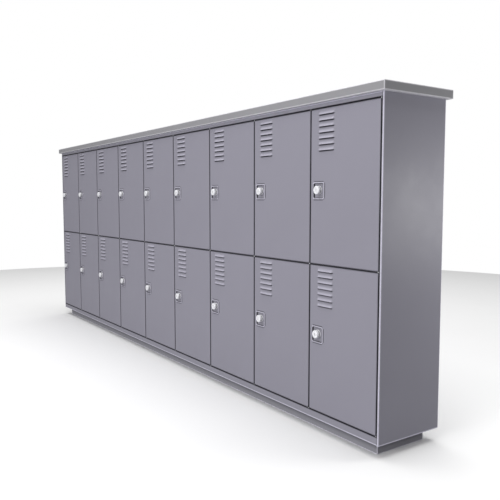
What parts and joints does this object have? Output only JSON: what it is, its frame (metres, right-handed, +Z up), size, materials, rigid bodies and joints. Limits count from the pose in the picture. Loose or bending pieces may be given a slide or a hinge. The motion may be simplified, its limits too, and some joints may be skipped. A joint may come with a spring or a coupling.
{
  "type": "coin operated locker",
  "caption": "Wide two-tier bank of steel lockers: hinged louvred doors with coin-return cylinder locks in recessed plates, flat ends, overhanging worktop and recessed plinth.",
  "frame": {"origin": "middle of the footprint, on the floor under the plinth", "axes": "+X along the bank to the right as seen from the front, -Y out of the doors, +Z up"},
  "size_m": [3.626, 0.376, 1.38],
  "materials": {
    "door_paint": "satin powder coat",
    "carcass_paint": "satin powder coat",
    "inner_paint": "satin powder coat",
    "worktop_paint": "satin powder coat",
    "plinth_paint": "satin powder coat",
    "pivot_steel": "zinc plated",
    "lock_plastic": "fine texture",
    "lock_chrome": "polished"
  },
  "bodies": {
    "cabinet": {"worktop": "worktop_paint", "plinth": "plinth_paint", "casing": "carcass_paint", "partitions": "inner_paint", "front_frame": "inner_paint", "door_pivots": "pivot_steel"},
    "door_lower_1": {"door_lower_1": "door_paint", "coin_lock_lower_1": "lock_plastic"},
    "lock_cylinder_lower_1": {"lock_cylinder_lower_1": "lock_chrome"},
    "door_upper_1": {"door_upper_1": "door_paint", "coin_lock_upper_1": "lock_plastic"},
    "lock_cylinder_upper_1": {"lock_cylinder_upper_1": "lock_chrome"},
    "door_lower_2": {"door_lower_2": "door_paint", "coin_lock_lower_2": "lock_plastic"},
    "lock_cylinder_lower_2": {"lock_cylinder_lower_2": "lock_chrome"},
    "door_upper_2": {"door_upper_2": "door_paint", "coin_lock_upper_2": "lock_plastic"},
    "lock_cylinder_upper_2": {"lock_cylinder_upper_2": "lock_chrome"},
    "door_lower_3": {"door_lower_3": "door_paint", "coin_lock_lower_3": "lock_plastic"},
    "lock_cylinder_lower_3": {"lock_cylinder_lower_3": "lock_chrome"},
    "door_upper_3": {"door_upper_3": "door_paint", "coin_lock_upper_3": "lock_plastic"},
    "lock_cylinder_upper_3": {"lock_cylinder_upper_3": "lock_chrome"},
    "door_lower_4": {"door_lower_4": "door_paint", "coin_lock_lower_4": "lock_plastic"},
    "lock_cylinder_lower_4": {"lock_cylinder_lower_4": "lock_chrome"},
    "door_upper_4": {"door_upper_4": "door_paint", "coin_lock_upper_4": "lock_plastic"},
    "lock_cylinder_upper_4": {"lock_cylinder_upper_4": "lock_chrome"},
    "door_lower_5": {"door_lower_5": "door_paint", "coin_lock_lower_5": "lock_plastic"},
    "lock_cylinder_lower_5": {"lock_cylinder_lower_5": "lock_chrome"},
    "door_upper_5": {"door_upper_5": "door_paint", "coin_lock_upper_5": "lock_plastic"},
    "lock_cylinder_upper_5": {"lock_cylinder_upper_5": "lock_chrome"},
    "door_lower_6": {"door_lower_6": "door_paint", "coin_lock_lower_6": "lock_plastic"},
    "lock_cylinder_lower_6": {"lock_cylinder_lower_6": "lock_chrome"},
    "door_upper_6": {"door_upper_6": "door_paint", "coin_lock_upper_6": "lock_plastic"},
    "lock_cylinder_upper_6": {"lock_cylinder_upper_6": "lock_chrome"},
    "door_lower_7": {"door_lower_7": "door_paint", "coin_lock_lower_7": "lock_plastic"},
    "lock_cylinder_lower_7": {"lock_cylinder_lower_7": "lock_chrome"},
    "door_upper_7": {"door_upper_7": "door_paint", "coin_lock_upper_7": "lock_plastic"},
    "lock_cylinder_upper_7": {"lock_cylinder_upper_7": "lock_chrome"},
    "door_lower_8": {"door_lower_8": "door_paint", "coin_lock_lower_8": "lock_plastic"},
    "lock_cylinder_lower_8": {"lock_cylinder_lower_8": "lock_chrome"},
    "door_upper_8": {"door_upper_8": "door_paint", "coin_lock_upper_8": "lock_plastic"},
    "lock_cylinder_upper_8": {"lock_cylinder_upper_8": "lock_chrome"},
    "door_lower_9": {"door_lower_9": "door_paint", "coin_lock_lower_9": "lock_plastic"},
    "lock_cylinder_lower_9": {"lock_cylinder_lower_9": "lock_chrome"},
    "door_upper_9": {"door_upper_9": "door_paint", "coin_lock_upper_9": "lock_plastic"},
    "lock_cylinder_upper_9": {"lock_cylinder_upper_9": "lock_chrome"}
  },
  "joints": [
    {"name": "door_hinge_lower_1", "type": "hinge", "parent": "cabinet", "child": "door_lower_1", "pos_m": [-1.40725, -0.163, 0.0895], "axis": [0, 0, 1], "range_deg": [0, 95]},
    {"name": "lock_turn_lower_1", "type": "hinge", "parent": "door_lower_1", "child": "lock_cylinder_lower_1", "pos_m": [-1.7345, -0.17, 0.4135], "axis": [0, 1, 0], "range_deg": [0, 90]},
    {"name": "door_hinge_upper_1", "type": "hinge", "parent": "cabinet", "child": "door_upper_1", "pos_m": [-1.40725, -0.163, 0.7015], "axis": [0, 0, 1], "range_deg": [0, 95]},
    {"name": "lock_turn_upper_1", "type": "hinge", "parent": "door_upper_1", "child": "lock_cylinder_upper_1", "pos_m": [-1.7345, -0.17, 1.0005], "axis": [0, 1, 0], "range_deg": [0, 90]},
    {"name": "door_hinge_lower_2", "type": "hinge", "parent": "cabinet", "child": "door_lower_2", "pos_m": [-1.00725, -0.163, 0.0895], "axis": [0, 0, 1], "range_deg": [0, 95]},
    {"name": "lock_turn_lower_2", "type": "hinge", "parent": "door_lower_2", "child": "lock_cylinder_lower_2", "pos_m": [-1.34975, -0.17, 0.4135], "axis": [0, 1, 0], "range_deg": [0, 90]},
    {"name": "door_hinge_upper_2", "type": "hinge", "parent": "cabinet", "child": "door_upper_2", "pos_m": [-1.00725, -0.163, 0.7015], "axis": [0, 0, 1], "range_deg": [0, 95]},
    {"name": "lock_turn_upper_2", "type": "hinge", "parent": "door_upper_2", "child": "lock_cylinder_upper_2", "pos_m": [-1.34975, -0.17, 1.0005], "axis": [0, 1, 0], "range_deg": [0, 90]},
    {"name": "door_hinge_lower_3", "type": "hinge", "parent": "cabinet", "child": "door_lower_3", "pos_m": [-0.60725, -0.163, 0.0895], "axis": [0, 0, 1], "range_deg": [0, 95]},
    {"name": "lock_turn_lower_3", "type": "hinge", "parent": "door_lower_3", "child": "lock_cylinder_lower_3", "pos_m": [-0.94975, -0.17, 0.4135], "axis": [0, 1, 0], "range_deg": [0, 90]},
    {"name": "door_hinge_upper_3", "type": "hinge", "parent": "cabinet", "child": "door_upper_3", "pos_m": [-0.60725, -0.163, 0.7015], "axis": [0, 0, 1], "range_deg": [0, 95]},
    {"name": "lock_turn_upper_3", "type": "hinge", "parent": "door_upper_3", "child": "lock_cylinder_upper_3", "pos_m": [-0.94975, -0.17, 1.0005], "axis": [0, 1, 0], "range_deg": [0, 90]},
    {"name": "door_hinge_lower_4", "type": "hinge", "parent": "cabinet", "child": "door_lower_4", "pos_m": [-0.20725, -0.163, 0.0895], "axis": [0, 0, 1], "range_deg": [0, 95]},
    {"name": "lock_turn_lower_4", "type": "hinge", "parent": "door_lower_4", "child": "lock_cylinder_lower_4", "pos_m": [-0.54975, -0.17, 0.4135], "axis": [0, 1, 0], "range_deg": [0, 90]},
    {"name": "door_hinge_upper_4", "type": "hinge", "parent": "cabinet", "child": "door_upper_4", "pos_m": [-0.20725, -0.163, 0.7015], "axis": [0, 0, 1], "range_deg": [0, 95]},
    {"name": "lock_turn_upper_4", "type": "hinge", "parent": "door_upper_4", "child": "lock_cylinder_upper_4", "pos_m": [-0.54975, -0.17, 1.0005], "axis": [0, 1, 0], "range_deg": [0, 90]},
    {"name": "door_hinge_lower_5", "type": "hinge", "parent": "cabinet", "child": "door_lower_5", "pos_m": [0.19275, -0.163, 0.0895], "axis": [0, 0, 1], "range_deg": [0, 95]},
    {"name": "lock_turn_lower_5", "type": "hinge", "parent": "door_lower_5", "child": "lock_cylinder_lower_5", "pos_m": [-0.14975, -0.17, 0.4135], "axis": [0, 1, 0], "range_deg": [0, 90]},
    {"name": "door_hinge_upper_5", "type": "hinge", "parent": "cabinet", "child": "door_upper_5", "pos_m": [0.19275, -0.163, 0.7015], "axis": [0, 0, 1], "range_deg": [0, 95]},
    {"name": "lock_turn_upper_5", "type": "hinge", "parent": "door_upper_5", "child": "lock_cylinder_upper_5", "pos_m": [-0.14975, -0.17, 1.0005], "axis": [0, 1, 0], "range_deg": [0, 90]},
    {"name": "door_hinge_lower_6", "type": "hinge", "parent": "cabinet", "child": "door_lower_6", "pos_m": [0.59275, -0.163, 0.0895], "axis": [0, 0, 1], "range_deg": [0, 95]},
    {"name": "lock_turn_lower_6", "type": "hinge", "parent": "door_lower_6", "child": "lock_cylinder_lower_6", "pos_m": [0.25025, -0.17, 0.4135], "axis": [0, 1, 0], "range_deg": [0, 90]},
    {"name": "door_hinge_upper_6", "type": "hinge", "parent": "cabinet", "child": "door_upper_6", "pos_m": [0.59275, -0.163, 0.7015], "axis": [0, 0, 1], "range_deg": [0, 95]},
    {"name": "lock_turn_upper_6", "type": "hinge", "parent": "door_upper_6", "child": "lock_cylinder_upper_6", "pos_m": [0.25025, -0.17, 1.0005], "axis": [0, 1, 0], "range_deg": [0, 90]},
    {"name": "door_hinge_lower_7", "type": "hinge", "parent": "cabinet", "child": "door_lower_7", "pos_m": [0.99275, -0.163, 0.0895], "axis": [0, 0, 1], "range_deg": [0, 95]},
    {"name": "lock_turn_lower_7", "type": "hinge", "parent": "door_lower_7", "child": "lock_cylinder_lower_7", "pos_m": [0.65025, -0.17, 0.4135], "axis": [0, 1, 0], "range_deg": [0, 90]},
    {"name": "door_hinge_upper_7", "type": "hinge", "parent": "cabinet", "child": "door_upper_7", "pos_m": [0.99275, -0.163, 0.7015], "axis": [0, 0, 1], "range_deg": [0, 95]},
    {"name": "lock_turn_upper_7", "type": "hinge", "parent": "door_upper_7", "child": "lock_cylinder_upper_7", "pos_m": [0.65025, -0.17, 1.0005], "axis": [0, 1, 0], "range_deg": [0, 90]},
    {"name": "door_hinge_lower_8", "type": "hinge", "parent": "cabinet", "child": "door_lower_8", "pos_m": [1.39275, -0.163, 0.0895], "axis": [0, 0, 1], "range_deg": [0, 95]},
    {"name": "lock_turn_lower_8", "type": "hinge", "parent": "door_lower_8", "child": "lock_cylinder_lower_8", "pos_m": [1.05025, -0.17, 0.4135], "axis": [0, 1, 0], "range_deg": [0, 90]},
    {"name": "door_hinge_upper_8", "type": "hinge", "parent": "cabinet", "child": "door_upper_8", "pos_m": [1.39275, -0.163, 0.7015], "axis": [0, 0, 1], "range_deg": [0, 95]},
    {"name": "lock_turn_upper_8", "type": "hinge", "parent": "door_upper_8", "child": "lock_cylinder_upper_8", "pos_m": [1.05025, -0.17, 1.0005], "axis": [0, 1, 0], "range_deg": [0, 90]},
    {"name": "door_hinge_lower_9", "type": "hinge", "parent": "cabinet", "child": "door_lower_9", "pos_m": [1.7775, -0.163, 0.0895], "axis": [0, 0, 1], "range_deg": [0, 95]},
    {"name": "lock_turn_lower_9", "type": "hinge", "parent": "door_lower_9", "child": "lock_cylinder_lower_9", "pos_m": [1.45025, -0.17, 0.4135], "axis": [0, 1, 0], "range_deg": [0, 90]},
    {"name": "door_hinge_upper_9", "type": "hinge", "parent": "cabinet", "child": "door_upper_9", "pos_m": [1.7775, -0.163, 0.7015], "axis": [0, 0, 1], "range_deg": [0, 95]},
    {"name": "lock_turn_upper_9", "type": "hinge", "parent": "door_upper_9", "child": "lock_cylinder_upper_9", "pos_m": [1.45025, -0.17, 1.0005], "axis": [0, 1, 0], "range_deg": [0, 90]}
  ]
}
